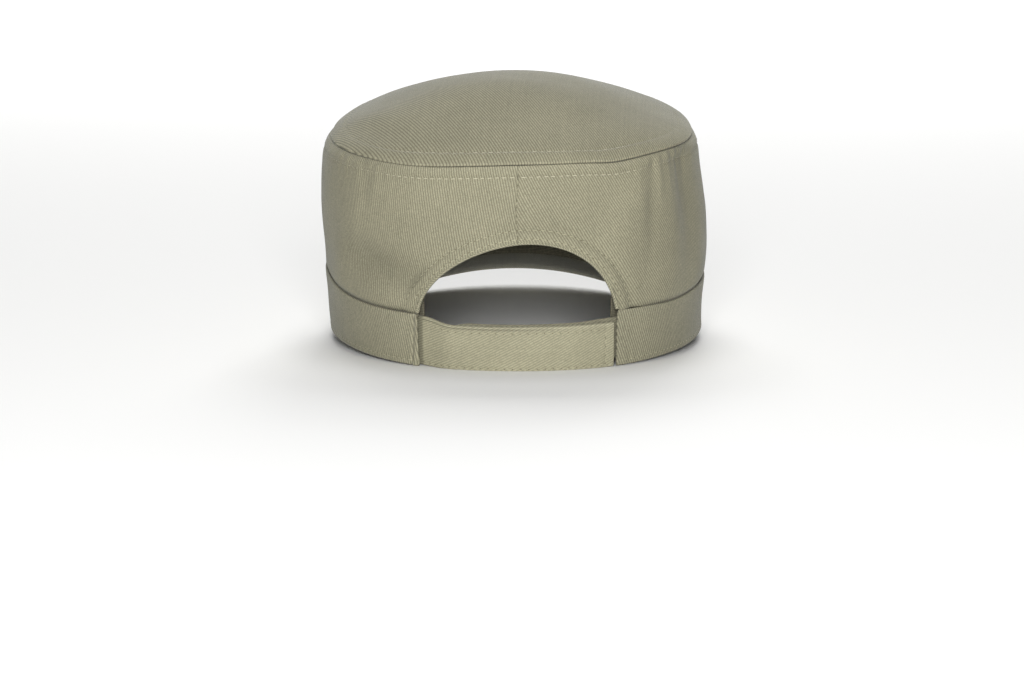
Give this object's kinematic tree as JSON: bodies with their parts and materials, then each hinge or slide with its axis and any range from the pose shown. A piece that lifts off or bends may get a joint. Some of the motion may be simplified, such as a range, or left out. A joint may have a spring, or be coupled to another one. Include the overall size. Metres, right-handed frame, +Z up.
{
  "type": "army cap",
  "caption": "Soft twill army cap with an oval domed top, upright side wall, lower band, curved peak and an arched back opening closed by an adjusting strap.",
  "frame": {"origin": "middle of the footprint, on the surface that the cap stands on", "axes": "+Z up, the peak points along -Y and the arched back opening along +Y, the wearer's left is +X"},
  "size_m": [0.1722, 0.271, 0.1204],
  "materials": {
    "twill": "washed cotton twill, stone olive, diagonal ribs, matt",
    "strap_twill": "cotton twill on a folded strap, a little lighter, matt",
    "sweatband_cloth": "plain cotton tape, matt",
    "hook_tape": "woven hook-and-loop tape, dull"
  },
  "bodies": {
    "root": {"crown_top": "twill", "wall_left": "twill", "wall_right": "twill", "band": "twill", "opening_binding": "twill", "strap_outer": "strap_twill", "strap_inner": "strap_twill", "hook_and_loop": "hook_tape", "sweatband": "sweatband_cloth", "peak": "twill"}
  },
  "joints": []
}
